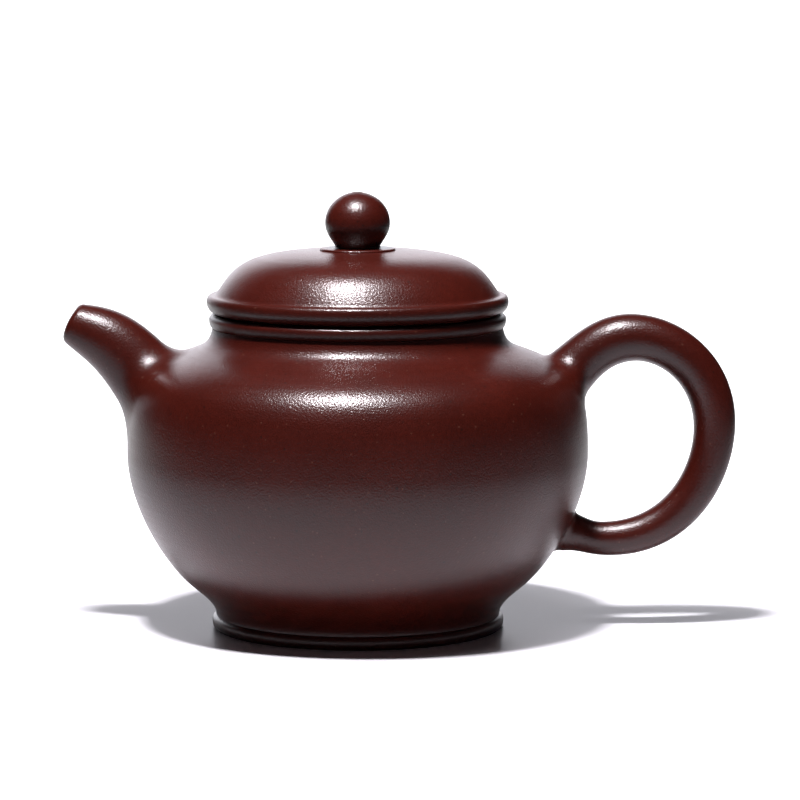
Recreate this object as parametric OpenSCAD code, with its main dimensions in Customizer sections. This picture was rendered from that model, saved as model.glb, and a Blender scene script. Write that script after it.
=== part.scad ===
// Round clay teapot with a lift-off lid, built from luted clay pieces.
// Millimetres, +Z up. The origin is the centre of the foot's resting face.
// +X points to the handle and -X to the spout.

/* [Body] */
// Largest radius of the belly
belly_r = 51.3; // [50.5:0.1:52.5]
// Height of the belly's widest line above the foot
belly_z = 39.4; // [38:0.1:41]
// Radius of the waist above the foot ring
waist_r = 31.7; // [31:0.1:32]
// Outer radius of the neck
neck_r = 32.2; // [32:0.1:32.4]
// Thickness of the clay wall
wall_t = 2.8; // [2.4:0.1:3.2]
// Thickness of the base disc
base_t = 3.0; // [2.5:0.1:3.5]

/* [Foot] */
// Largest radius of the foot ring's bead
foot_r = 32.55; // [32.4:0.05:33]
// Height of the foot ring
foot_h = 2.95; // [2.6:0.05:3.1]
// Radius of the recess inside the foot ring
recess_r = 27.6; // [26:0.1:28.4]

/* [Mouth] */
// Radius of the bore through the neck and the mouth ring
bore_r = 28.8; // [28.4:0.1:29]
// Largest radius of the mouth ring
mouth_r = 33.0; // [32.8:0.1:33.4]
// Height of the mouth ring's flat top above the foot
mouth_z = 70.25; // [70:0.05:70.5]
// Height of the mouth ring itself
mouth_h = 3.15; // [2.8:0.05:3.4]

/* [Lid] */
// Largest radius of the lid's rounded edge
lid_r = 33.5; // [33.2:0.1:33.9]
// Thickness of the lid plate at its edge
plate_h = 4.05; // [3.9:0.05:4.2]
// Radius of the opening in the lid plate
plate_bore_r = 26.0; // [25:0.1:26.2]
// Space between the lid plate and the mouth ring
seat_gap = 0.1; // [0.05:0.05:0.2]
// Space between the flange and the mouth's bore, all round
side_gap = 0.3; // [0.3:0.05:0.5]
// Depth of the locating flange below the lid plate
flange_h = 9.5; // [7:0.5:10]
// Thickness of the flange
flange_t = 2.5; // [2:0.1:3]
// Height of the dome's crown above the foot
crown_z = 84.36; // [84:0.05:84.6]
// Thickness of the dome
dome_t = 2.6; // [2.2:0.1:3]
// Radius of the steam hole down through the knob
steam_r = 1.1; // [0.8:0.1:1.4]

/* [Knob] */
// Radius of the disc that the knob stands on
seat_r = 8.4; // [8:0.1:9]
// Thickness of that disc
seat_h = 0.85; // [0.8:0.05:1.2]
// Largest radius of the knob
knob_r = 7.2; // [6.8:0.1:7.6]
// Radius of the knob's neck
knob_neck_r = 5.0; // [4.6:0.1:5.3]
// Height of the knob's top above the foot
knob_top_z = 97.25; // [96.5:0.05:98]

/* [Spout] */
// Radius of the spout behind its lip
tip_r = 4.3; // [4.2:0.1:4.6]
// Radius of the rounding of the lip
lip_round = 1.2; // [0.8:0.1:1.3]
// Radius of the pouring hole in the lip
pour_r = 2.4; // [2.2:0.1:2.6]
// Radius of the wall's opening behind the spout
port_r = 6.2; // [5.4:0.1:6.6]

/* [Strainer] */
// Outer radius of the perforated dome inside the opening
strainer_r = 9.6; // [9.4:0.1:10]
// Thickness of the perforated dome
strainer_t = 1.8; // [1.5:0.1:2]
// Radius of each drain hole
drain_r = 1.1; // [0.8:0.1:1.2]
// Drain holes in the first ring round the middle one
drain_inner = 6; // [4:1:6]
// Drain holes in the second ring
drain_outer = 12; // [8:1:12]

/* [Handle] */
// Furthest reach of the handle's middle line from the pot's axis
handle_x = 79.45; // [78.5:0.05:80]
// Half thickness of the handle at its furthest point
grip_r = 4.65; // [4.4:0.05:4.9]

/* [Quality] */
// Straight steps in each curved stretch of an outline
steps = 12; // [8:1:16]
// Sides of the swept spout and handle
sides = 28; // [20:4:32]

/* [Hidden] */
$fn = 96;
clay = [0.30, 0.15, 0.13];
dark_clay = [0.25, 0.12, 0.11];
far = 120;                        // beyond the pot in any direction
overrun = 1;                      // how far a drill runs past what it cuts
worn = 0.3;                       // what the sponge takes off a corner
seat_sink = 0.5;                  // depth of the flat for the knob's disc, below the crown

// Heights of the joints between the luted pieces
seam_z = 57.5;                    // wall to shoulder disc
collar_z = 63.3;                  // shoulder disc to neck collar
mouth_base_z = mouth_z - mouth_h; // neck collar to mouth ring
plate_z = mouth_z + seat_gap;     // underside of the lid plate
ledge_z = plate_z + plate_h;      // top of the lid plate
seat_z = crown_z - seat_sink;     // the flat cut in the dome for the knob's disc
knob_z = seat_z + seat_h;         // bottom of the knob

// ---- Curves ----

// One point of a cubic curve with four control points, of any dimension
function curve_at(c, t) =
    pow(1 - t, 3) * c[0] + 3 * pow(1 - t, 2) * t * c[1] + 3 * (1 - t) * t * t * c[2] + t * t * t * c[3];

// A cubic curve as points, with its last point left to the next curve
function curve(c, n = steps) = [for (i = [0:n - 1]) curve_at(c, i / n)];

// Curves end to end, with the last end point
function chain(list, n = steps) =
    concat([for (c = list) each curve(c, n)], [list[len(list) - 1][3]]);

// A point at a distance and an angle from another
function polar(p, length, angle) = p + length * [cos(angle), sin(angle)];

// Direction of a path at one of its points
function heading(path, i) =
    let (d = path[min(i + 1, len(path) - 1)] - path[max(i - 1, 0)]) d / norm(d);

// A path moved to its left by a distance
function moved_left(path, d) =
    [for (i = [0:len(path) - 1]) let (h = heading(path, i)) path[i] + d * [-h[1], h[0]]];

// ---- Outlines, as [radius, height] ----

low_bend = [belly_r - 13.5, belly_z - 29];      // where the belly turns out of the waist
low_angle = 40.5;
high_bend = [belly_r - 12.1, belly_z + 21.9];   // where the shoulder turns up to the neck
high_angle = 158.7;
neck_top = [neck_r, 68.9];

belly_curves = [
    [[waist_r, foot_h], [waist_r, foot_h + 2.7], polar(low_bend, -3.7, low_angle), low_bend],
    [low_bend, polar(low_bend, 7.3, low_angle), [belly_r, belly_z - 11.6], [belly_r, belly_z]],
    [[belly_r, belly_z], [belly_r, belly_z + 15.9], polar(high_bend, -9.7, high_angle), high_bend]
];
neck_curve = [high_bend, polar(high_bend, 4.5, high_angle), [neck_r, 63.15], neck_top];

belly_path = chain(belly_curves);
outer_path = chain(concat(belly_curves, [neck_curve]));
inside_path = concat(
    [[waist_r - wall_t, foot_h]],
    moved_left([for (i = [1:len(belly_path) - 1]) belly_path[i]], wall_t)
);
inside_end = inside_path[len(inside_path) - 1];
// The inside runs straight on, under the shoulder, to the bore
inside_rise = (inside_end[0] - bore_r) * tan(180 - high_angle);

// The strainer's dome, along the spout's first stretch and open into the port
dome_centre = 5.4;                // from the spout's root to the middle of the dome
dome_arc = [for (a = [-90:7.5:45]) a];
dome_arc_back = [for (a = [45:-7.5:-90]) a];
inner_lean = 24;
outer_lean = 46;

// The lid's dome, from its crown out and down to its edge
dome_foot = [33.45, crown_z - 13];
dome_curve = [[0, crown_z], [27.6, crown_z], polar(dome_foot, 12, 122.8), dome_foot];
dome_path = chain([dome_curve], 3 * steps);

// Everything within the pot's outer face, and the hollow inside it
module pot_volume() {
    rotate_extrude()
        polygon(concat([[0, foot_h]], outer_path, [[0, neck_top[1]]]));
}

module hollow_volume() {
    rotate_extrude()
        polygon(concat(
            [[0, foot_h]], inside_path,
            [[bore_r, inside_end[1] + inside_rise], [bore_r, far], [0, far]]
        ));
}

// A flat slice of space between two heights
module slice(low, high) {
    translate([0, 0, low])
        cylinder(h = high - low, r = far);
}

// The pot's wall between two heights
module wall_band(low, high) {
    difference() {
        intersection() {
            pot_volume();
            slice(low, high);
        }
        hollow_volume();
    }
}

// ---- Swept pieces: middle lines as [x, z, half thickness] ----

spout_root = [-42.4, 49.4];
spout_tip = [-64.15, 68.5];
root_angle = 124.4;               // the way the spout leaves the wall
tip_angle = 154;                  // the way the spout pours
root_r = 9.0;                     // half thickness of the spout within the wall
tip_hold = 9.3;                   // length over which the lip's direction is held
tip_swell = 7.35;                 // half thickness that the lip's taper starts from
tip_taper = (tip_swell - tip_r) / tip_hold;
spout_curve = [
    [each spout_root, root_r],
    [each polar(spout_root, 19, root_angle), 6.8],
    [each polar(spout_tip, -tip_hold, tip_angle), tip_swell],
    [each spout_tip, tip_r]
];
// Both swept pieces start inside the wall, which trims them
spout_line = concat(
    [[each polar(spout_root, -3, root_angle), root_r]],
    chain([spout_curve], 2 * steps)
);

handle_root = [43.7, 53.6];
handle_rise = 43.7;               // the way the handle leaves the wall
handle_root_r = 6.3;
handle_top = [61.25, 64.8];
handle_top_r = 5.25;
handle_side = [handle_x, 45.05];
handle_low = [55.5, 19.65];
handle_low_r = 3.8;
handle_end = [46.55, 21.35];
handle_fall = 169.5;              // the way its lower end meets the wall
handle_end_r = 4.55;
handle_curves = [
    [
        [each handle_root, handle_root_r],
        [each polar(handle_root, 7, handle_rise), 4.6],
        [each polar(handle_top, -8, 0), 5.65],
        [each handle_top, handle_top_r]
    ],
    [
        [each handle_top, handle_top_r],
        [each polar(handle_top, 8.5, 0), 4.85],
        [each polar(handle_side, 12.4, 90), 4.95],
        [each handle_side, grip_r]
    ],
    [
        [each handle_side, grip_r],
        [each polar(handle_side, -11.4, 90), 4.35],
        [each polar(handle_low, 16, 0), 4.4],
        [each handle_low, handle_low_r]
    ],
    [
        [each handle_low, handle_low_r],
        [each polar(handle_low, -4.1, 0), 3.65],
        [each polar(handle_end, -4.1, handle_fall), 3.6],
        [each handle_end, handle_end_r]
    ]
];
handle_line = concat(
    [[each polar(handle_root, -2, handle_rise), handle_root_r]],
    chain(handle_curves),
    [[each polar(handle_end, 5, handle_fall), handle_end_r]]
);

// A ring of points round a middle line that lies in the XZ plane
function ring(line, i, n) =
    let (
        h = heading([for (p = line) [p[0], p[1]]], i),
        r = line[i][2]
    )
    [
        for (k = [0:n - 1])
            let (a = 360 * k / n)
            [line[i][0] - h[1] * r * cos(a), r * sin(a), line[i][1] + h[0] * r * cos(a)]
    ];

// A tube round a middle line. A channel along a second line leaves it hollow.
module tube_along(line, channel = [], n = sides) {
    rings = concat(
        [for (i = [0:len(line) - 1]) ring(line, i, n)],
        [for (i = [len(channel) - 1:-1:0]) ring(channel, i, n)]
    );
    count = len(rings);
    hollow = len(channel) > 0;
    walls = [
        for (i = [0:count - (hollow ? 1 : 2)], k = [0:n - 1])
            let (
                next = (i + 1) % count * n,
                a = i * n + k,
                b = i * n + (k + 1) % n,
                c = next + k,
                d = next + (k + 1) % n
            )
            each [[a, c, d], [a, d, b]]
    ];
    ends = [[for (k = [0:n - 1]) k], [for (k = [n - 1:-1:0]) (count - 1) * n + k]];
    polyhedron(points = [for (r = rings) each r], faces = hollow ? walls : concat(walls, ends));
}

// The lip's rounding takes the tube in over its last stretch
function rounded_lip(line) =
    let (last = line[len(line) - 1])
    concat(
        [for (p = line) if (norm([p[0] - last[0], p[1] - last[1]]) > lip_round) p],
        [
            for (a = [0:15:90])
                let (back = lip_round * (1 - sin(a)))
                [
                    each polar([last[0], last[1]], -back, tip_angle),
                    tip_r + tip_taper * back - lip_round * (1 - cos(a))
                ]
        ]
    );

// The channel keeps the wall's thickness and narrows to the pouring hole
function channel(line) =
    [
        for (i = [0:len(line) - 1])
            let (
                share = i / (len(line) - 1),
                lip_t = tip_r - pour_r
            )
            [line[i][0], line[i][1], line[i][2] - (1 - share) * wall_t - share * lip_t]
    ];

// The opening in the wall runs along the spout's first stretch
module along_root(from) {
    translate([spout_root[0], 0, spout_root[1]])
        rotate([0, 90 - root_angle, 0])
            translate([0, 0, from])
                children();
}

// ---- The pot ----

module foot_ring() {
    bead = [foot_r, foot_h / 2];
    color(dark_clay)
        rotate_extrude()
            polygon(concat(
                [[recess_r + worn, 0]],
                chain([
                    [[foot_r - 0.45, 0], [foot_r - 0.1, 0.3], bead - [0, 0.7], bead],
                    [bead, bead + [0, 0.9], [foot_r - 0.3, foot_h - 0.2], [waist_r, foot_h]]
                ], 6),
                [[recess_r, foot_h], [recess_r, worn]]
            ));
}

module base_disc() {
    color(clay)
        intersection() {
            hollow_volume();
            slice(foot_h, foot_h + base_t);
        }
}

module body_wall() {
    color(clay)
        difference() {
            wall_band(foot_h, seam_z);
            along_root(0)
                cylinder(h = far, r = port_r);
        }
}

module shoulder_disc() {
    color(clay)
        wall_band(seam_z, collar_z);
}

module neck_collar() {
    color(dark_clay)
        wall_band(collar_z, mouth_base_z);
}

module mouth_rim() {
    bulge = [mouth_r, mouth_z - 1.35];
    under = [mouth_r - 0.75, mouth_base_z];
    color(dark_clay)
        rotate_extrude()
            polygon(concat(
                [[bore_r, mouth_base_z]],
                chain([
                    [under, under + [0.5, 0.3], bulge - [0, 0.7], bulge],
                    [bulge, bulge + [0, 0.6], [mouth_r - 0.1, mouth_z - 0.3], [mouth_r - 0.45, mouth_z]]
                ], 6),
                [[bore_r + worn, mouth_z], [bore_r, mouth_z - worn]]
            ));
}

module spout() {
    color(clay)
        difference() {
            tube_along(rounded_lip(spout_line), channel(spout_line));
            pot_volume();
        }
}

module spout_strainer() {
    inner_r = strainer_r - strainer_t;
    // Each ring of holes: its lean from the dome's middle, and how many
    holes = [[0, 1], [inner_lean, drain_inner], [outer_lean, drain_outer]];
    color(dark_clay)
        difference() {
            intersection() {
                along_root(dome_centre)
                    rotate_extrude()
                        polygon(concat(
                            [for (a = dome_arc) strainer_r * [cos(a), sin(a)]],
                            [for (a = dome_arc_back) inner_r * [cos(a), sin(a)]]
                        ));
                hollow_volume();
            }
            along_root(dome_centre)
                for (row = holes, k = [0:row[1] - 1])
                    rotate([0, 0, 360 * k / row[1]])
                        rotate([180 - row[0], 0, 0])
                            translate([0, 0, inner_r - overrun])
                                cylinder(h = strainer_t + 2 * overrun, r = drain_r);
        }
}

module handle() {
    color(clay)
        difference() {
            tube_along(handle_line);
            pot_volume();
        }
}

// ---- The lid ----

module steam_hole() {
    translate([0, 0, mouth_z])
        cylinder(h = far, r = steam_r);
}

module lid_plate() {
    bulge = [lid_r, plate_z + 2.45];
    color(clay)
        rotate_extrude()
            polygon(concat(
                [[plate_bore_r, plate_z]],
                chain([
                    [[lid_r - 1.5, plate_z], [lid_r - 0.9, plate_z + 0.4], bulge - [0, 1.2], bulge],
                    [bulge, bulge + [0, 0.9], [lid_r - 0.35, ledge_z - 0.1], [lid_r - 0.95, ledge_z]]
                ], 8),
                [[plate_bore_r, ledge_z]]
            ));
}

module lid_flange() {
    outer = bore_r - side_gap;
    inner = outer - flange_t;
    low = plate_z - flange_h;
    soft = 2 * worn;
    color(dark_clay)
        rotate_extrude()
            polygon([
                [inner, plate_z], [inner, low + soft], [inner + soft, low],
                [outer - soft, low], [outer, low + soft], [outer, plate_z]
            ]);
}

module lid_dome() {
    under = moved_left(dome_path, -dome_t);
    back = [for (i = [len(under) - 1:-1:1]) under[i]];
    color(clay)
        difference() {
            rotate_extrude()
                polygon(concat(dome_path, back, [[0, crown_z - dome_t]]));
            slice(0, ledge_z);
            translate([0, 0, seat_z])
                cylinder(h = far, r = seat_r);
            steam_hole();
        }
}

module knob_seat() {
    color(dark_clay)
        difference() {
            translate([0, 0, seat_z])
                rotate_extrude()
                    polygon([
                        [0, 0], [seat_r, 0], [seat_r, seat_h - worn],
                        [seat_r - worn, seat_h], [0, seat_h]
                    ]);
            steam_hole();
        }
}

module knob() {
    widest = [knob_r, knob_z + 5.6];
    pinch = [knob_neck_r, knob_z + 0.5];
    color(clay)
        difference() {
            rotate_extrude()
                polygon(concat(
                    [[0, knob_z], [knob_neck_r + 0.4, knob_z]],
                    chain([
                        [pinch, pinch + [0.5, 1.1], widest - [0, 2.4], widest],
                        [widest, widest + [0, 4.1], [3.7, knob_top_z], [0, knob_top_z]]
                    ])
                ));
            steam_hole();
        }
}

foot_ring();
base_disc();
body_wall();
shoulder_disc();
neck_collar();
mouth_rim();
spout();
spout_strainer();
handle();
lid_plate();
lid_flange();
lid_dome();
knob_seat();
knob();
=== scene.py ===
# %% [markdown]
# # A round clay teapot with a lift-off lid
#
# This notebook builds the looks of an unglazed stoneware teapot around a finished CAD model.
# The real pot isn't cast in one go. It is put together from clay pieces: a beaten strip for the
# belly, a disc for the shoulder, rings for the foot, neck and mouth, a rolled handle, a hollow
# spout, and a lid of five pieces. Each of them is one mesh here, and moves with its CAD body.

# %% Load the CAD frame
import math

import bpy
import numpy as np
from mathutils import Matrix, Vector


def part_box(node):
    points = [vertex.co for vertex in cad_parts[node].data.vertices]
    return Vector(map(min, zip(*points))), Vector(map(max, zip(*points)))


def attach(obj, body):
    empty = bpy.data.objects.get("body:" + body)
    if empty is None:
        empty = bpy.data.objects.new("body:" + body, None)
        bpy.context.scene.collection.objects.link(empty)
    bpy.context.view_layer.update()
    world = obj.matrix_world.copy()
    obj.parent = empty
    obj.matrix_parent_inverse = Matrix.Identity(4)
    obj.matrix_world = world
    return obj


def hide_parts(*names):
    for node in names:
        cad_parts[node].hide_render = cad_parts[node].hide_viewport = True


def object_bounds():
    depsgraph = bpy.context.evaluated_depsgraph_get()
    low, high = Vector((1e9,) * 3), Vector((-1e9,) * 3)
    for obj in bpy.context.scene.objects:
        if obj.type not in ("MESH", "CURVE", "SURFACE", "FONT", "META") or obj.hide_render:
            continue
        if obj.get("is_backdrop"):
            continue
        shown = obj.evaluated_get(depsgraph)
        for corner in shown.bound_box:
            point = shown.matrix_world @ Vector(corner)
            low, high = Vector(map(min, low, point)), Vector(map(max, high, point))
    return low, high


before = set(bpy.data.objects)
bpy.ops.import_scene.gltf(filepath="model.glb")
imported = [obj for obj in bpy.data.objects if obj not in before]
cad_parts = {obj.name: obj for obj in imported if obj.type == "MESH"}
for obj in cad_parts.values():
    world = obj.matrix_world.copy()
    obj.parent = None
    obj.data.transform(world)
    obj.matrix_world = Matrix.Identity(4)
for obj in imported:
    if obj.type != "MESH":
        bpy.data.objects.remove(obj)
cad_low, cad_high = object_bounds()

# %% [markdown]
# ## Sizes come from the frame
#
# A potter measures the pot with callipers and writes the sizes down before turning a part to
# match. Here the CAD nodes are the thing that is measured. All outlines below are in
# millimetres, because that is the scale at which clay is worked, and one factor turns them into
# Blender's metres when a mesh is made.

# %% Measure the CAD nodes
MM = 0.001


def reach(node):
    """Lowest and highest corner of a CAD node, in millimetres."""
    low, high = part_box(node)
    return np.array(low) / MM, np.array(high) / MM


foot_h = reach("foot_ring")[1][2]
foot_r = reach("foot_ring")[1][1]
base_top = reach("base_disc")[1][2]
belly_r = reach("body_wall")[1][1]
seam_z = reach("body_wall")[1][2]
collar_z = reach("shoulder_disc")[1][2]
mouth_base = reach("mouth_rim")[0][2]
mouth_z = reach("mouth_rim")[1][2]
mouth_r = reach("mouth_rim")[1][1]
plate_z = reach("lid_plate")[0][2]
ledge_z = reach("lid_plate")[1][2]
lid_r = reach("lid_plate")[1][1]
flange_low = reach("lid_flange")[0][2]
flange_r = reach("lid_flange")[1][1]
seat_z = reach("knob_seat")[0][2]
seat_r = reach("knob_seat")[1][1]
knob_z = reach("knob")[0][2]
knob_top = reach("knob")[1][2]
knob_r = reach("knob")[1][1]
print(f"belly {2 * belly_r:.1f} mm across, lid {2 * lid_r:.1f} mm, {knob_top:.1f} mm high")

# %% [markdown]
# ## Drawing an outline
#
# A round pot is fully described by half of its outline: radius against height. Every stretch of
# the outline is one cubic curve, because such a curve leaves each end in a chosen direction, and
# two of them flow into each other when they share that direction. A spline through many points
# would also work, but it has far more numbers to keep true.

# %% Curves
def curve(a, b, c, d, steps=24):
    """A cubic curve as steps + 1 points, of any dimension."""
    t = np.linspace(0, 1, steps + 1)[:, None]
    a, b, c, d = (np.array(p, float) for p in (a, b, c, d))
    return (1 - t) ** 3 * a + 3 * (1 - t) ** 2 * t * b + 3 * (1 - t) * t**2 * c + t**3 * d


def chain(*curves):
    """Curves end to end, without their doubled points."""
    return np.vstack([curves[0]] + [c[1:] for c in curves[1:]])


def polar(point, length, degrees):
    """The point at a distance and a direction from another."""
    turn = math.radians(degrees)
    return np.array(point, float) + length * np.array([math.cos(turn), math.sin(turn)])


def moved_left(path, distance):
    """A path moved sideways, square to its own direction."""
    way = np.gradient(path, axis=0)
    way /= np.linalg.norm(way, axis=1)[:, None]
    return path + distance * np.stack([-way[:, 1], way[:, 0]], 1)


def between(path, low, high):
    """The stretch of a rising path between two heights, cut exactly at both."""
    inside = path[(path[:, 1] > low + 0.05) & (path[:, 1] < high - 0.05)]
    ends = [[np.interp(z, path[:, 1], path[:, 0]), z] for z in (low, low + 0.02, high - 0.02, high)]
    return np.vstack([ends[:2], inside, ends[2:]])


# %% [markdown]
# ## The pot's own outline
#
# The belly leaves a narrow waist above the foot, swells to its widest line, and turns over into
# a low shoulder that sweeps up into a short neck. The inside follows the outside at the wall's
# thickness up to the shoulder and then runs straight to the bore of the mouth.

# %% Outline of the pot
wall_t = 2.8
waist_r = 31.7
neck_r = 32.2
side_gap = 0.3
bore_r = flange_r + side_gap
belly_z = 39.4
low_bend = np.array([belly_r - 13.5, belly_z - 29])
high_bend = np.array([belly_r - 12.1, belly_z + 21.9])
low_angle, high_angle = 40.5, 158.7
neck_low, neck_high = 63.15, 68.9

belly_line = chain(
    curve([waist_r, foot_h], [waist_r, foot_h + 2.7], polar(low_bend, -3.7, low_angle), low_bend, 30),
    curve(low_bend, polar(low_bend, 7.3, low_angle), [belly_r, belly_z - 11.6], [belly_r, belly_z], 60),
    curve([belly_r, belly_z], [belly_r, belly_z + 15.9], polar(high_bend, -9.7, high_angle), high_bend, 60),
)
outside = chain(
    belly_line,
    curve(high_bend, polar(high_bend, 4.5, high_angle), [neck_r, neck_low], [neck_r, neck_high], 50),
)
inside = moved_left(belly_line, wall_t)
inside[0] = [waist_r - wall_t, foot_h]
bore_low = inside[-1, 1] + (inside[-1, 0] - bore_r) * math.tan(math.radians(180 - high_angle))
inside = np.vstack([inside, [bore_r, bore_low], [bore_r, mouth_z]])
print(f"outline of {len(outside)} points, widest at {belly_z:.1f} mm, wall {wall_t} mm")

# %% [markdown]
# ## From outline to mesh
#
# A lathe turns an outline into a solid. Blender has a Screw modifier and a Spin tool for this,
# but writing the rings out keeps every ring where it was planned, so two neighbouring pieces
# share a ring exactly and no seam shows. Corners that the potter's sponge would soften are
# replaced by short curves first.

# %% Turn outlines into meshes
TURNS = 240


def soften(outline, size, steps=4):
    """Rounds the corners of a closed outline of straight lines."""
    points = []
    count = len(outline)
    for i in range(count):
        before, here, after = (np.array(outline[j % count], float) for j in (i - 1, i, i + 1))
        if here[0] < 0.01:
            points.append(here)
            continue
        short = min(size, np.linalg.norm(before - here) * 0.45, np.linalg.norm(after - here) * 0.45)
        start = here + short * (before - here) / np.linalg.norm(before - here)
        end = here + short * (after - here) / np.linalg.norm(after - here)
        points.extend(curve(start, start + 0.55 * (here - start), end + 0.55 * (here - end), end, steps))
    return np.array(points)


def turned(outline, turns=TURNS):
    """Points and faces of a closed outline turned round the Z axis."""
    outline = np.array(outline, float)
    r, z = outline[:, 0], outline[:, 1]
    if np.sum(r * np.roll(z, -1) - np.roll(r, -1) * z) < 0:
        outline = outline[::-1]
    angle = np.arange(turns) * 2 * math.pi / turns
    points, rings = [], []
    for r, z in outline:
        start = len(points)
        if r < 1e-6:
            points.append((0, 0, z))
            rings.append([start] * turns)
        else:
            points.extend(zip(r * np.cos(angle), r * np.sin(angle), np.full(turns, z)))
            rings.append(list(range(start, start + turns)))
    faces = []
    for lower, upper in zip(rings, rings[1:] + rings[:1]):
        for k in range(turns):
            n = (k + 1) % turns
            face = [lower[k], lower[n], upper[n], upper[k]]
            corners = [c for i, c in enumerate(face) if c != face[i - 1]]
            if len(corners) > 2:
                faces.append(corners)
    return points, faces


def make_piece(name, points, faces, node, body, slot, crease=40):
    """A smooth mesh that stands for a CAD node and moves with its body."""
    mesh = bpy.data.meshes.new(name)
    mesh.from_pydata((np.array(points) * MM).tolist(), [], faces)
    mesh.shade_smooth()
    mesh.set_sharp_from_angle(angle=math.radians(crease))
    piece = bpy.data.objects.new(name, mesh)
    bpy.context.scene.collection.objects.link(piece)
    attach(piece, body)
    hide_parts(node)
    size = np.ptp(np.array(points), axis=0)
    print(f"{name}: {len(faces)} faces, {size[0]:.1f} x {size[1]:.1f} x {size[2]:.1f} mm")
    return piece


# %% [markdown]
# ## The foot ring and the base
#
# The foot is a ring of clay under the belly with a rounded bead and a fine groove above it. It
# lifts the belly off the table and leaves a shallow recess. The base disc closes the belly's
# bottom and is seen only from below or through the mouth.

# %% Foot ring and base disc
recess_r = 27.6
bead = np.array([foot_r, foot_h / 2])
foot_outline = np.vstack([
    chain(
        curve([foot_r - 0.75, 0], [foot_r - 0.3, 0], bead - [0, 0.9], bead, 12),
        curve(bead, bead + [0, 0.8], [foot_r - 0.25, foot_h - 0.28], [waist_r - 0.12, foot_h - 0.02], 12),
    ),
    [[waist_r - 0.15, foot_h], [recess_r, foot_h]],
    soften([[recess_r, foot_h], [recess_r, 0], [foot_r - 2, 0]], 0.6)[5:10],
])
foot_ring = make_piece("foot_ring_turned", *turned(foot_outline), "foot_ring", "pot", "burnished_clay")

base_r = inside[0, 0]
base_edge = np.interp(base_top, inside[:, 1], inside[:, 0])
base_outline = [
    [0, foot_h], [base_r, foot_h], [base_edge, base_top],
    [base_r * 0.5, base_top - 0.15], [0, base_top - 0.2],
]
base_disc = make_piece("base_disc_cut", *turned(base_outline), "base_disc", "pot", "raw_clay")

# %% [markdown]
# ## Belly, shoulder and neck
#
# Three pieces carry one flowing surface, which the maker burnishes until the joints vanish. Each
# is the same outline cut at the CAD model's joint heights, so that neighbours meet ring on ring.

# %% Belly wall, shoulder disc and neck collar
def wall_band(low, high):
    """The closed outline of the wall between two heights."""
    return np.vstack([between(outside, low, high), between(inside, low, high)[::-1]])


belly = make_piece("belly_wall", *turned(wall_band(foot_h, seam_z)), "body_wall", "pot", "burnished_clay")
shoulder = make_piece(
    "shoulder_slab", *turned(wall_band(seam_z, collar_z)), "shoulder_disc", "pot", "burnished_clay"
)
neck = make_piece(
    "neck_ring", *turned(wall_band(collar_z, mouth_base)), "neck_collar", "pot", "burnished_clay"
)

# %% [markdown]
# ## The mouth ring
#
# A rounded ring stiffens the mouth and mirrors the edge of the lid above it. It is a little
# wider than the neck, with a soft underside and a flat top that the lid sits on.

# %% Mouth ring
bulge = np.array([mouth_r, mouth_z - 1.35])
mouth_outline = np.vstack([
    chain(
        curve([neck_r - 0.1, mouth_base], [mouth_r - 0.35, mouth_base + 0.1], bulge - [0, 0.9], bulge, 16),
        curve(bulge, bulge + [0, 0.8], [mouth_r - 0.5, mouth_z - 0.05], [mouth_r - 1.7, mouth_z], 12),
    ),
    soften([[mouth_r - 2.5, mouth_z], [bore_r, mouth_z], [bore_r, mouth_base]], 0.5)[5:10],
    [[bore_r, mouth_base]],
])
mouth_ring = make_piece("mouth_ring", *turned(mouth_outline), "mouth_rim", "pot", "rim_clay")

# %% [markdown]
# ## Blending a round piece into the wall
#
# A spout or handle isn't stuck on: its root is wetted, pressed to the wall and smoothed with a
# bamboo tool, which leaves a soft valley all round. A bevel on a boolean edge can't follow such
# a varying angle. Instead the tube's own lines are drawn down to the wall, and near it each
# point is placed at a chosen height over the wall and a chosen height over the tube. The two
# heights follow the curve of a smooth union, which leaves the tube and reaches the wall without
# a crease.

# %% Distance from a turned surface
def height_over(line, points):
    """Signed distance of points from the surface that an outline makes, positive outside it."""
    flat = points.reshape(-1, 3)
    spot = np.stack([np.hypot(flat[:, 0], flat[:, 1]), flat[:, 2]], 1)
    start, step = line[:-1], np.diff(line, axis=0)
    share = np.einsum("pqi,qi->pq", spot[:, None] - start, step) / np.sum(step**2, 1)
    away = spot[:, None] - start - np.clip(share, 0, 1)[..., None] * step
    gap = np.linalg.norm(away, axis=2)
    nearest = gap.argmin(1)
    pick = np.arange(len(spot))
    near_step, near_away = step[nearest], away[pick, nearest]
    side = near_step[:, 1] * near_away[:, 0] - near_step[:, 0] * near_away[:, 1]
    return (gap[pick, nearest] * np.sign(side)).reshape(points.shape[:-1])


wall_line = outside[::3]

# %% [markdown]
# A middle line lies in the upright plane through the spout and handle. Each of its points has a
# place and a half thickness, so one table of four points a curve gives the sweep and its taper.


# %% Points on a tube
HALVINGS = 26


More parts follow.
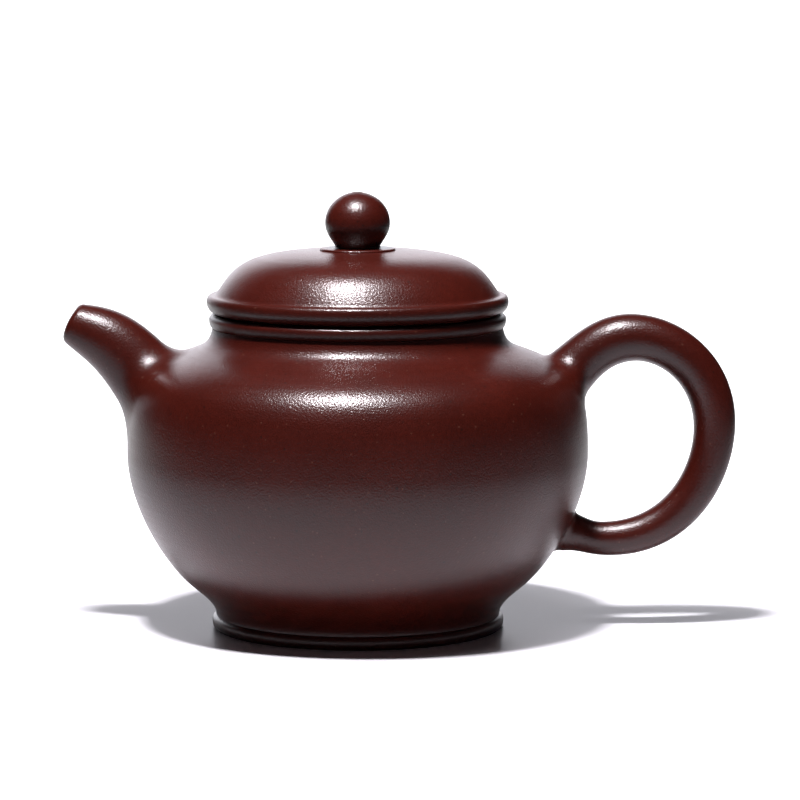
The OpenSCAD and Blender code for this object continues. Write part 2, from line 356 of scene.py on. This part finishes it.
class Tube:
    """A round tube along a middle line of [x, z, half thickness]."""

    def __init__(self, line):
        step = np.linalg.norm(np.diff(line[:, :2], axis=0), axis=1)
        self.along = np.concatenate([[0], np.cumsum(step)])
        self.length = self.along[-1]
        self.line = line
        self.way = np.gradient(line[:, :2], self.along, axis=0)

    def at(self, s, turn, out=0.0):
        """Points at a length along the line, a turn round it and a distance over the surface."""
        x, z, r = (np.interp(s, self.along, self.line[:, i]) for i in range(3))
        dx, dz = (np.interp(s, self.along, self.way[:, i]) for i in range(2))
        size = np.hypot(dx, dz)
        side = (r + out) * np.cos(turn)
        return np.stack([x - dz / size * side, (r + out) * np.sin(turn), z + dx / size * side], -1)

    def meet(self, turn, out, height, deep, clear, surface):
        """Length at which a line of the tube is at a height over a surface, by halving.

        The distance over the tube is a value for each turn, or a function of the length.
        """
        low, high = np.broadcast_arrays(deep + 0 * turn, clear + 0 * turn)
        for _ in range(HALVINGS):
            middle = (low + high) / 2
            over = out(middle) if callable(out) else out
            under = height_over(surface, self.at(middle, turn, over)) < height
            low, high = np.where(under, middle, low), np.where(under, high, middle)
        return (low + high) / 2

    def root(self, turn, width, deep, clear, rings=16):
        """The blended root: rings of points from just under the wall's face up to the tube."""
        points = []
        for spread, sunk in ((1.3, -0.3), (1.0, -0.015)):
            s = self.meet(turn, width + spread, sunk, deep, clear, wall_line)
            points.append(self.at(s, turn, width + spread))
        for u in np.linspace(-1, 1, rings):
            bend = width * (1 - abs(u)) ** 2 / 4
            height = bend + max(u, 0) * width
            out = bend + max(-u, 0) * width
            s = self.meet(turn, out, height, deep, clear, wall_line)
            points.append(self.at(s, turn, out))
        return points, s


def woven(rings, closed):
    """Faces between rings of points, and round from the last to the first when closed."""
    count, around = len(rings), len(rings[0])
    faces = []
    for i in range(count if closed else count - 1):
        a, b = i * around, (i + 1) % count * around
        for k in range(around):
            n = (k + 1) % around
            faces.append([a + k, b + k, b + n, a + n])
    return faces


AROUND = 128
turn = np.arange(AROUND) * 2 * math.pi / AROUND

# %% [markdown]
# ## The spout
#
# The spout is a short hollow tube that bends up from the shoulder and is cut square to its
# stream at the lip. It is wide at the root and slim at the lip, and its blend is broadest on
# top. The mesh runs from the blend up the outside, over the lip, down the channel, and back
# under the blend, so it is closed.

# %% Spout
spout_root = np.array([-42.4, 49.4])
spout_tip = np.array([-64.15, 68.5])
root_angle, tip_angle = 124.4, 154
root_r, tip_r, pour_r = 9.0, 4.3, 2.4
spout_line = chain(
    curve([*polar(spout_root, -12, root_angle), root_r], [*polar(spout_root, -8, root_angle), root_r],
          [*polar(spout_root, -4, root_angle), root_r], [*spout_root, root_r], 20),
    curve([*spout_root, root_r], [*polar(spout_root, 19, root_angle), 6.8],
          [*polar(spout_tip, -9.3, tip_angle), 7.35], [*spout_tip, tip_r], 160),
)
spout_tube = Tube(spout_line)
spout_width = 3.9 - 0.7 * np.cos(turn) + 1.6 * np.sin(turn) ** 2
deep, clear = 4.0, spout_tube.length - 4
rings, start = spout_tube.root(turn, spout_width, deep, clear)
lip_round, lip_inner = 1.2, 0.5
lip_end = spout_tube.length - 0.3 * np.cos(turn) ** 2
for share in np.linspace(0, 1, 41)[1:]:
    rings.append(spout_tube.at(start + (lip_end - lip_round - start) * share, turn))
for a in np.radians([12, 24, 36, 48, 60, 75, 90]):
    s = lip_end - lip_round * (1 - math.sin(a))
    rings.append(spout_tube.at(s, turn, -lip_round * (1 - math.cos(a))))


def channel_depth(s):
    """How far the channel lies under the spout's surface at a length along it."""
    share = np.clip(s / spout_tube.length, 0, 1)
    return wall_t * (1 - share) + (tip_r - pour_r) * share


for a in np.radians([0, 22, 45, 68, 90]):
    s = lip_end - lip_inner * (1 - math.cos(a))
    rings.append(spout_tube.at(s, turn, -channel_depth(s) + lip_inner * (1 - math.sin(a))))
channel_start = lip_end - lip_inner - 0.1
channel_sunk = -0.4
channel_end = spout_tube.meet(turn, lambda s: -channel_depth(s), channel_sunk, deep, clear, wall_line)
for share in np.linspace(0, 1, 25):
    s = channel_start + (channel_end - channel_start) * share
    rings.append(spout_tube.at(s, turn, -channel_depth(s)))
spout = make_piece(
    "spout_blended", np.vstack(rings), woven(rings, True), "spout", "pot", "burnished_clay", 60
)

# %% [markdown]
# ## The port and the strainer
#
# Behind the spout the wall has a round port. A pierced clay dome is luted over it from inside,
# so that leaves stay in the pot. Drilling is what the maker does, and a boolean is the same
# thing: the holes are cut from finished walls, with nothing left to guess about their edges.

# %% Cut the port and make the strainer
port_r, port_depth = 6.2, 20
strainer_r, strainer_t = 9.6, 1.8
drain_r = 1.1
drill_start, drill_end = -11, -6.5
dome_centre = 5.4


def tilted(points, along):
    """Points drawn about the Z axis, laid along the spout's first stretch."""
    lean = math.radians(90 - root_angle)
    x, y, z = np.array(points, float).T
    z = z + along
    return np.stack([
        spout_root[0] + x * math.cos(lean) + z * math.sin(lean),
        y,
        spout_root[1] - x * math.sin(lean) + z * math.cos(lean),
    ], 1)


def cut(piece, points, faces, how="DIFFERENCE"):
    """Applies an exact boolean with a throwaway tool mesh."""
    mesh = bpy.data.meshes.new("tool")
    mesh.from_pydata((np.array(points) * MM).tolist(), [], faces)
    tool = bpy.data.objects.new("tool", mesh)
    bpy.context.scene.collection.objects.link(tool)
    step = piece.modifiers.new("cut", "BOOLEAN")
    step.operation, step.object, step.solver = how, tool, "EXACT"
    shape = bpy.data.meshes.new_from_object(piece.evaluated_get(bpy.context.evaluated_depsgraph_get()))
    piece.modifiers.remove(step)
    old, piece.data = piece.data, shape
    bpy.data.objects.remove(tool)
    bpy.data.meshes.remove(mesh)
    bpy.data.meshes.remove(old)
    print(f"{piece.name}: cut, {len(shape.polygons)} faces")


rod = [[0, 0], [port_r, 0], [port_r, port_depth], [0, port_depth]]
points, faces = turned(rod, 96)
cut(belly, tilted(points, 0), faces)
arc = np.radians(np.linspace(-90, 45, 37))
shell = []
for r, angles in ((strainer_r, arc), (strainer_r - strainer_t, arc[::-1])):
    shell += [(r * math.cos(a), r * math.sin(a)) for a in angles]
shell[0] = (0, shell[0][1])
shell[-1] = (0, shell[-1][1])
points, faces = turned(shell, 96)
strainer = make_piece(
    "strainer_dome", tilted(points, dome_centre), faces, "spout_strainer", "pot", "raw_clay"
)
hollow = np.vstack([[[0, foot_h + 1]], inside[3:], [[0, mouth_z]]])
points, faces = turned(hollow)
cut(strainer, points, faces, "INTERSECT")

drill = [[0, drill_start], [drain_r, drill_start], [drain_r, drill_end], [0, drill_end]]
drills, drill_faces = [], []
for lean, count in ((0, 1), (24, 6), (46, 12)):
    for k in range(count):
        points, faces = turned(drill, 24)
        x, y, z = np.array(points).T
        tip, spin = math.radians(lean), 2 * math.pi * k / count
        x, z = x * math.cos(tip) - z * math.sin(tip), x * math.sin(tip) + z * math.cos(tip)
        x, y = x * math.cos(spin) - y * math.sin(spin), x * math.sin(spin) + y * math.cos(spin)
        drill_faces += [[i + len(drills) for i in face] for face in faces]
        drills += list(zip(x, y, z))
cut(strainer, tilted(drills, dome_centre), drill_faces)

# %% [markdown]
# ## The handle
#
# The handle is a solid roll of clay, thick at its upper root and tapering all the way round to
# the lower one. Its upper root flows into the shoulder, while the lower one is pressed on with a
# tighter valley.

# %% Handle
grip_r = 4.65
handle_x = reach("handle")[1][0] - grip_r
high_root, climb = np.array([43.7, 53.6]), 43.7
low_root, fall = np.array([46.55, 21.35]), 169.5
handle_top, handle_side, handle_low = (61.25, 64.8), (handle_x, 45.05), (55.5, 19.65)
root_half = 7.1


def handle_point(point, half, away=0.0, degrees=0.0):
    """A point of the handle's middle line with its half thickness."""
    return np.array([*polar(point, away, degrees), half])


handle_line = chain(
    np.linspace(handle_point(high_root, root_half, -8, climb), handle_point(high_root, root_half), 12),
    curve(handle_point(high_root, root_half), handle_point(high_root, 4.6, 7, climb),
          handle_point(handle_top, 5.65, -8), handle_point(handle_top, 5.25), 60),
    curve(handle_point(handle_top, 5.25), handle_point(handle_top, 4.85, 8.5),
          handle_point(handle_side, 4.95, 12.4, 90), handle_point(handle_side, grip_r), 80),
    curve(handle_point(handle_side, grip_r), handle_point(handle_side, 4.35, -11.4, 90),
          handle_point(handle_low, 4.4, 16), handle_point(handle_low, 3.8), 80),
    curve(handle_point(handle_low, 3.8), handle_point(handle_low, 3.65, -4.1),
          handle_point(low_root, 3.6, -4.1, fall), handle_point(low_root, 4.55), 30),
    np.linspace(handle_point(low_root, 4.55), handle_point(low_root, 4.55, 11, fall), 14),
)
handle_tube = Tube(handle_line)
back_tube = Tube(handle_line[::-1])
upper_width = 1.6 + 3.4 * np.sin(turn) ** 2
lower_width = np.full(AROUND, 1.7)
upper, upper_end = handle_tube.root(turn, upper_width, 1.0, 26.0)
lower, lower_end = back_tube.root(math.pi - turn, lower_width, 1.0, 20.0)
lower_end = handle_tube.length - lower_end
middle = [
    handle_tube.at(upper_end + (lower_end - upper_end) * share, turn)
    for share in np.linspace(0, 1, 181)[1:-1]
]
rings = upper + middle + lower[::-1]
points = np.vstack(rings)
faces = woven(rings, False)
for ring, order in ((0, 1), (len(rings) - 1, -1)):
    loop = list(range(ring * AROUND, (ring + 1) * AROUND))[::order]
    heart = points[loop].mean(0)
    points = np.vstack([points, heart])
    faces += [[len(points) - 1, loop[k - 1], loop[k]][::-1] for k in range(AROUND)]
handle = make_piece("handle_rolled", points, faces, "handle", "pot", "handle_clay", 60)

# %% [markdown]
# ## The lid
#
# The lid is a flat ring with a rounded edge, a flange under it that centres it in the mouth, and
# a low dome on top. The dome is set back a little and runs out on the ring in a small cove, where
# a fingertip has smoothed the joint. All its pieces ride on the lid's own body and lift together.

# %% Lid plate, flange and dome
plate_bore, flange_t = 26.0, 2.5
steam_r = 1.1
dome_t = 2.6
seat_sink = 0.5
crown_z = seat_z + seat_sink
bulge = np.array([lid_r, plate_z + 2.45])
plate_outline = np.vstack([
    [[plate_bore, ledge_z], [plate_bore, plate_z]],
    chain(
        curve([lid_r - 2.4, plate_z], [lid_r - 0.9, plate_z + 0.1], bulge - [0, 1.3], bulge, 20),
        curve(bulge, bulge + [0, 0.95], [lid_r - 0.3, ledge_z], [lid_r - 1.0, ledge_z], 16),
    ),
])
lid_plate = make_piece("lid_plate_ring", *turned(plate_outline), "lid_plate", "lid", "rim_clay")

flange_in = flange_r - flange_t
flange_outline = soften([
    [flange_in, plate_z], [flange_in, flange_low], [flange_r, flange_low], [flange_r, plate_z]
], 0.7)
flange = make_piece("lid_flange_ring", *turned(flange_outline), "lid_flange", "lid", "raw_clay")

dome_foot = np.array([33.45, crown_z - 13])
dome_line = curve([0, crown_z], [27.6, crown_z], polar(dome_foot, 12, 122.8), dome_foot, 140)
under_line = moved_left(dome_line, -dome_t)


def above(path, z):
    """The start of a falling path, cut exactly at a height."""
    kept = path[path[:, 1] > z + 0.02]
    return np.vstack([kept, [np.interp(-z, -path[:, 1], path[:, 0]), z]])


cove = 1.1
dome_top = above(dome_line, ledge_z + cove)
cove_start = dome_top[-1]
cove_end = np.array([cove_start[0] + cove, ledge_z])
cove_line = curve(cove_start, cove_start + [0.35, -0.55], cove_end - [0.5, 0], cove_end, 12)
dome_top = chain(dome_top, cove_line)
dome_under = above(under_line, ledge_z)
dome_outline = np.vstack([
    [[steam_r, seat_z], [seat_r, seat_z]],
    dome_top[dome_top[:, 0] > seat_r],
    dome_under[dome_under[:, 0] > steam_r][::-1],
    [[steam_r, crown_z - dome_t]],
])
dome = make_piece("lid_dome_shell", *turned(dome_outline), "lid_dome", "lid", "lid_clay")

# %% [markdown]
# ## The knob
#
# The knob is a ball of clay on a thin disc, with a steam hole straight down through both. The
# hole lets air in as tea pours out.

# %% Knob and its disc
knob_neck = 5.0
disc_outline = soften([
    [steam_r, seat_z], [seat_r, seat_z], [seat_r, knob_z], [steam_r, knob_z]
], 0.35)
disc = make_piece("knob_disc", *turned(disc_outline, 160), "knob_seat", "lid", "lid_clay")

widest = np.array([knob_r, knob_z + 5.6])
pinch = np.array([knob_neck, knob_z + 0.5])
ball = chain(
    curve([knob_neck + 0.5, knob_z], [knob_neck + 0.2, knob_z], pinch - [0, 0.25], pinch, 8),
    curve(pinch, pinch + [0.5, 1.1], widest - [0, 2.4], widest, 28),
    curve(widest, widest + [0, 4.1], [3.7, knob_top], [0, knob_top], 44),
)
ball = ball[ball[:, 0] > steam_r + 0.25]
brink = curve(
    ball[-1], [steam_r + 0.1, knob_top], [steam_r, knob_top - 0.1], [steam_r, knob_top - 0.35], 5
)
knob_outline = np.vstack([[[steam_r, knob_z]], ball, brink[1:]])
knob = make_piece("knob_ball", *turned(knob_outline, 160), "knob", "lid", "lid_clay")

# %% [markdown]
# ## The clay
#
# This clay is fired without a glaze. Its colour comes from iron, with pale and dark grains of
# sand in it, and the maker burnishes the damp surface with a horn tool until it has a satin
# sheen. Colour, gloss and surface are therefore three separate things: broad mottling and
# specks, a roughness that wanders, and a fine pimpled skin.

# %% Material helpers
def node(tree, kind, label, **inputs):
    """A shader node with its inputs set by name or number."""
    made = tree.nodes.new(kind)
    made.label = label
    for key, value in inputs.items():
        key = int(key[1:]) if key[0] == "_" else key.replace("_", " ")
        made.inputs[key].default_value = value
    return made


def noise(tree, place, label, scale, detail=2.0, roughness=0.5):
    """A noise value over object space, with its scale in repeats per metre."""
    made = node(tree, "ShaderNodeTexNoise", label, Scale=scale, Detail=detail, Roughness=roughness)
    tree.links.new(place, made.inputs["Vector"])
    return made.outputs["Fac"]


def spread(tree, value, low, high, to_low, to_high, label):
    """A value mapped from one range to another, and held within it."""
    made = node(tree, "ShaderNodeMapRange", label, _1=low, _2=high, _3=to_low, _4=to_high)
    tree.links.new(value, made.inputs[0])
    return made.outputs[0]


def blend(tree, share, first, second, label):
    """A mix of two colours, each a socket or a plain colour."""
    made = tree.nodes.new("ShaderNodeMix")
    made.label, made.data_type = label, "RGBA"
    tree.links.new(share, made.inputs["Factor"])
    for socket, colour in ((made.inputs[6], first), (made.inputs[7], second)):
        if isinstance(colour, tuple):
            socket.default_value = (*colour, 1)
        else:
            tree.links.new(colour, socket)
    return made.outputs[2]


def sand(tree, place, label, scale, share, size):
    """Grains: 1 within a small spot in some cells of a pattern, else 0."""
    cells = node(tree, "ShaderNodeTexVoronoi", label, Scale=scale)
    tree.links.new(place, cells.inputs["Vector"])
    pick = node(tree, "ShaderNodeSeparateColor", label + " pick")
    tree.links.new(cells.outputs["Color"], pick.inputs[0])
    chosen = spread(tree, pick.outputs[0], share, share + 0.02, 1, 0, label + " chosen")
    spot = spread(tree, cells.outputs["Distance"], size * 0.6, size, 1, 0, label + " spot")
    both = node(tree, "ShaderNodeMath", label + " both")
    both.operation = "MULTIPLY"
    tree.links.new(chosen, both.inputs[0])
    tree.links.new(spot, both.inputs[1])
    return both.outputs[0]


def bumped(tree, height, strength, distance, label, under=None):
    """A bump of a given depth in metres, over another bump."""
    made = node(tree, "ShaderNodeBump", label, Strength=strength, Distance=distance)
    tree.links.new(height, made.inputs["Height"])
    if under:
        tree.links.new(under, made.inputs["Normal"])
    return made.outputs["Normal"]


# %% Clay recipe
PALE_SAND, IRON_SPOT = (0.11, 0.045, 0.030), (0.008, 0.003, 0.0025)
MARK_SHARE = 0.004


def clay(name, dark, light, gloss, pimples, grains=0.04):
    """A clay between two tones, with its roughness, its skin's depth in mm and its share of sand."""
    made = bpy.data.materials.new(name)
    made.use_nodes = True
    tree = made.node_tree
    skin = tree.nodes["Principled BSDF"]
    place = tree.nodes.new("ShaderNodeTexCoord").outputs["Object"]
    flat = node(tree, "ShaderNodeMapping", "rings", Scale=(25, 25, 1400))
    tree.links.new(place, flat.inputs["Vector"])

    broad = noise(tree, place, "broad mottling", 70, 3)
    fine = noise(tree, place, "fine mottling", 900, 3, 0.6)
    rings = noise(tree, flat.outputs[0], "burnishing marks", 1, 2)
    peel = noise(tree, place, "pimpled skin", 2500, 2.0)

    tone = blend(tree, spread(tree, broad, 0.3, 0.7, 0, 1, "tone"), dark, light, "clay tone")
    worn = tuple(c * 0.8 for c in dark)
    tone = blend(tree, spread(tree, fine, 0.35, 0.6, 0.45, 0, "grain share"), tone, worn, "grain")
    pale = sand(tree, place, "pale sand", 1100, grains, 0.30)
    tone = blend(tree, spread(tree, pale, 0, 1, 0, 0.5, "pale share"), tone, PALE_SAND, "sand")
    iron = sand(tree, place, "iron spots", 800, grains * 0.8, 0.28)
    tone = blend(tree, spread(tree, iron, 0, 1, 0, 0.6, "iron share"), tone, IRON_SPOT, "iron")
    tree.links.new(tone, skin.inputs["Base Color"])

    rough = spread(tree, rings, 0.3, 0.7, gloss - 0.015, gloss + 0.02, "burnish")
    tree.links.new(rough, skin.inputs["Roughness"])
    normal = bumped(tree, peel, 1.0, pimples * MM, "skin")
    normal = bumped(tree, rings, 1.0, pimples * MM * MARK_SHARE, "marks", normal)
    tree.links.new(normal, skin.inputs["Normal"])
    skin.inputs["IOR"].default_value = 1.52
    return made


# %% [markdown]
# ## Five finishes
#
# The belly, spout, handle and lid are burnished alike. The rims are turned and handled most, so
# they are a touch darker. The base, the strainer and the flange stay raw from the tool, so they
# are paler, matt and sandier.

# %% Give each piece its finish
fired = (0.038, 0.0042, 0.0022), (0.052, 0.0060, 0.0032)
handled = (0.035, 0.0041, 0.0022), (0.048, 0.0056, 0.0031)
unworked = (0.055, 0.0130, 0.0080), (0.085, 0.0210, 0.0130)
GLOSS, PIMPLES = 0.29, 0.080

burnished = clay("burnished_clay", *fired, GLOSS, PIMPLES)
rim = clay("rim_clay", *handled, GLOSS, PIMPLES)
roll = clay("handle_clay", *fired, GLOSS, PIMPLES)
capped = clay("lid_clay", *fired, GLOSS, PIMPLES)
raw = clay("raw_clay", *unworked, 0.62, 0.12, grains=0.12)

finishes = {
    burnished: (foot_ring, belly, shoulder, neck, spout),
    rim: (mouth_ring, lid_plate),
    roll: (handle,),
    capped: (dome, disc, knob),
    raw: (base_disc, strainer, flange),
}
for material, pieces in finishes.items():
    for piece in pieces:
        piece.data.materials.clear()
        piece.data.materials.append(material)
print("finishes:", [m.name for m in finishes])

# %% [markdown]
# ## The floor
#
# The pot stands on a smooth white sweep. A studio lights the far part of such a sweep until it
# has no tone left, so the floor here gives off light of its own: a painted glow to the camera,
# beyond an oval round the pot's shadow, and a painted glow behind the pot for all other rays, so
# that the pot mirrors it and is lit by it as if a lamp lit that part of the sweep. Close to the
# pot it is an ordinary satin sheet: the lamp makes it white, and where the pot shades it, it
# mirrors a little of the pale backdrop.

# %% Floor
FLOOR = 14.0
mesh = bpy.data.meshes.new("floor")
corners = [(x * FLOOR, y * FLOOR, 0) for x, y in ((-1, -1), (1, -1), (1, 1), (-1, 1))]
mesh.from_pydata(corners, [], [[0, 1, 2, 3]])
floor = bpy.data.objects.new("floor", mesh)
bpy.context.scene.collection.objects.link(floor)
floor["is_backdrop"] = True


def two(tree, kind, first, second, label):
    """A sum, product or other maths of two values, each a socket or a number."""
    made = tree.nodes.new("ShaderNodeMath")
    made.label, made.operation = label, kind
    for socket, value in zip(made.inputs, (first, second)):
        if isinstance(value, (int, float)):
            socket.default_value = value
        else:
            tree.links.new(value, socket)
    return made.outputs[0]


paper = bpy.data.materials.new("white_sweep")
paper.use_nodes = True
tree = paper.node_tree
sheet = tree.nodes["Principled BSDF"]
sheet.inputs["Base Color"].default_value = (0.74, 0.74, 0.77, 1)
sheet.inputs["Roughness"].default_value = 0.30
sheet.inputs["IOR"].default_value = 1.11
where = tree.nodes.new("ShaderNodeTexCoord").outputs["Object"]
shade = node(
    tree, "ShaderNodeMapping", "round the shadow", Location=(-0.20, -0.30, 0), Scale=(11.0, 17, 0)
)
tree.links.new(where, shade.inputs["Vector"])
far_off = node(tree, "ShaderNodeVectorMath", "distance from the shadow")
far_off.operation = "LENGTH"
tree.links.new(shade.outputs[0], far_off.inputs[0])
grit = noise(tree, where, "paper grain", 1100, 2)
tree.links.new(bumped(tree, grit, 1.0, 0.04 * MM, "grain"), sheet.inputs["Normal"])
spot = node(tree, "ShaderNodeSeparateXYZ", "spot")
tree.links.new(where, spot.inputs[0])
# Painted light: the floor glows to the camera beyond an oval round the pot's shadow, and behind the pot for
# all other rays, where the pot mirrors it.
seen = tree.nodes.new("ShaderNodeLightPath").outputs["Is Camera Ray"]
glow = spread(tree, far_off.outputs["Value"], 1.1, 1.7, 0.0, 1.2, "glow to the camera")
behind = spread(tree, spot.outputs["Y"], 0.0, 0.35, 0.0, 1.05, "glow behind")
aside = two(tree, "ADD", spot.outputs["X"], 0.12, "from its middle")
width = spread(tree, two(tree, "ABSOLUTE", aside, 0, "off centre"), 0.20, 0.50, 1, 0, "sweep's width")
behind = two(tree, "MULTIPLY", behind, width, "glowing sweep")
unseen = two(tree, "SUBTRACT", 1.0, seen, "not seen")
to_camera = two(tree, "MULTIPLY", glow, seen, "for the camera")
to_others = two(tree, "MULTIPLY", behind, unseen, "for reflections")
total = two(tree, "ADD", to_camera, to_others, "glow")
sheet.inputs["Emission Color"].default_value = (1, 1, 1, 1)
tree.links.new(total, sheet.inputs["Emission Strength"])
floor.data.materials.append(paper)

# %% [markdown]
# ## Light
#
# Two oval lamps hang above and in front, a little to the left. The small one gives the shadow
# its edge, and the wide, weaker one draws each highlight out sideways. Both are gridded, so the
# light stays in a pool round the pot and the room beyond is dark. Straight behind stands a pale
# backdrop, which draws the lines of reflected light along the sides and the lid's crown.

# %% Lamps and room
LIT = Vector((0, 0.01, 0.04))


def lamp(name, way, distance, wide, tall, power, beam):
    """An oval lamp in a direction from the pot, aimed low on its belly."""
    light = bpy.data.lights.new(name, "AREA")
    light.shape, light.size, light.size_y, light.energy = "ELLIPSE", wide, tall, power
    light.color = (1.0, 0.96, 1.0)
    light.spread = math.radians(beam)
    made = bpy.data.objects.new(name, light)
    made.location = Vector(way).normalized() * distance
    made.rotation_euler = (LIT - made.location).to_track_quat("-Z", "Y").to_euler()
    bpy.context.scene.collection.objects.link(made)


lamp("key", (-0.1, -0.295, 1.0), 0.85, 0.13, 0.06, 0.66, 40)
lamp("soft_box", (-0.04, -0.22, 1.0), 0.85, 0.60, 0.12, 0.21, 60)

room = bpy.data.worlds.new("room")
bpy.context.scene.world = room
room.use_nodes = True
tree = room.node_tree
sky = tree.nodes["Background"]
aim = node(tree, "ShaderNodeSeparateXYZ", "aim")
tree.links.new(tree.nodes.new("ShaderNodeTexCoord").outputs["Generated"], aim.inputs[0])
centred = two(tree, "ADD", aim.outputs["X"], 0.14, "centred")
across = spread(tree, two(tree, "ABSOLUTE", centred, 0, "across"), 0.20, 0.50, 1, 0, "width")
upward = spread(tree, aim.outputs["Z"], 0.30, 0.54, 1, 0, "height")
ahead = spread(tree, aim.outputs["Y"], 0.3, 0.6, 0, 1, "behind the pot")
card = two(tree, "MULTIPLY", two(tree, "MULTIPLY", across, upward, "card"), ahead, "backdrop")
tree.links.new(spread(tree, card, 0, 1, 0.015, 2.4, "brightness"), sky.inputs["Strength"])
sky.inputs["Color"].default_value = (0.93, 0.93, 1.0, 1)

# %% [markdown]
# ## Camera
#
# A long lens from 0.9 m away keeps the pot's ellipses shallow. It stands a little higher than
# the knob and looks slightly down.

# %% Camera
lens = bpy.data.cameras.new("camera")
look_down = 6.92
lens.lens, lens.sensor_width = 183.24, 36
camera = bpy.data.objects.new("camera", lens)
camera.location = (0.0094, -0.900, 0.160)
camera.rotation_euler = (math.radians(90 - look_down), 0, 0)
bpy.context.scene.collection.objects.link(camera)
bpy.context.scene.camera = camera
bpy.context.scene.view_settings.view_transform = "Standard"

visual_low, visual_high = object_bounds()
boxes = {
    "cad": [list(cad_low), list(cad_high)],
    "visual": [list(visual_low), list(visual_high)],
}
for name, (low, high) in boxes.items():
    print(name, [round(v / MM, 2) for v in low], [round(v / MM, 2) for v in high])
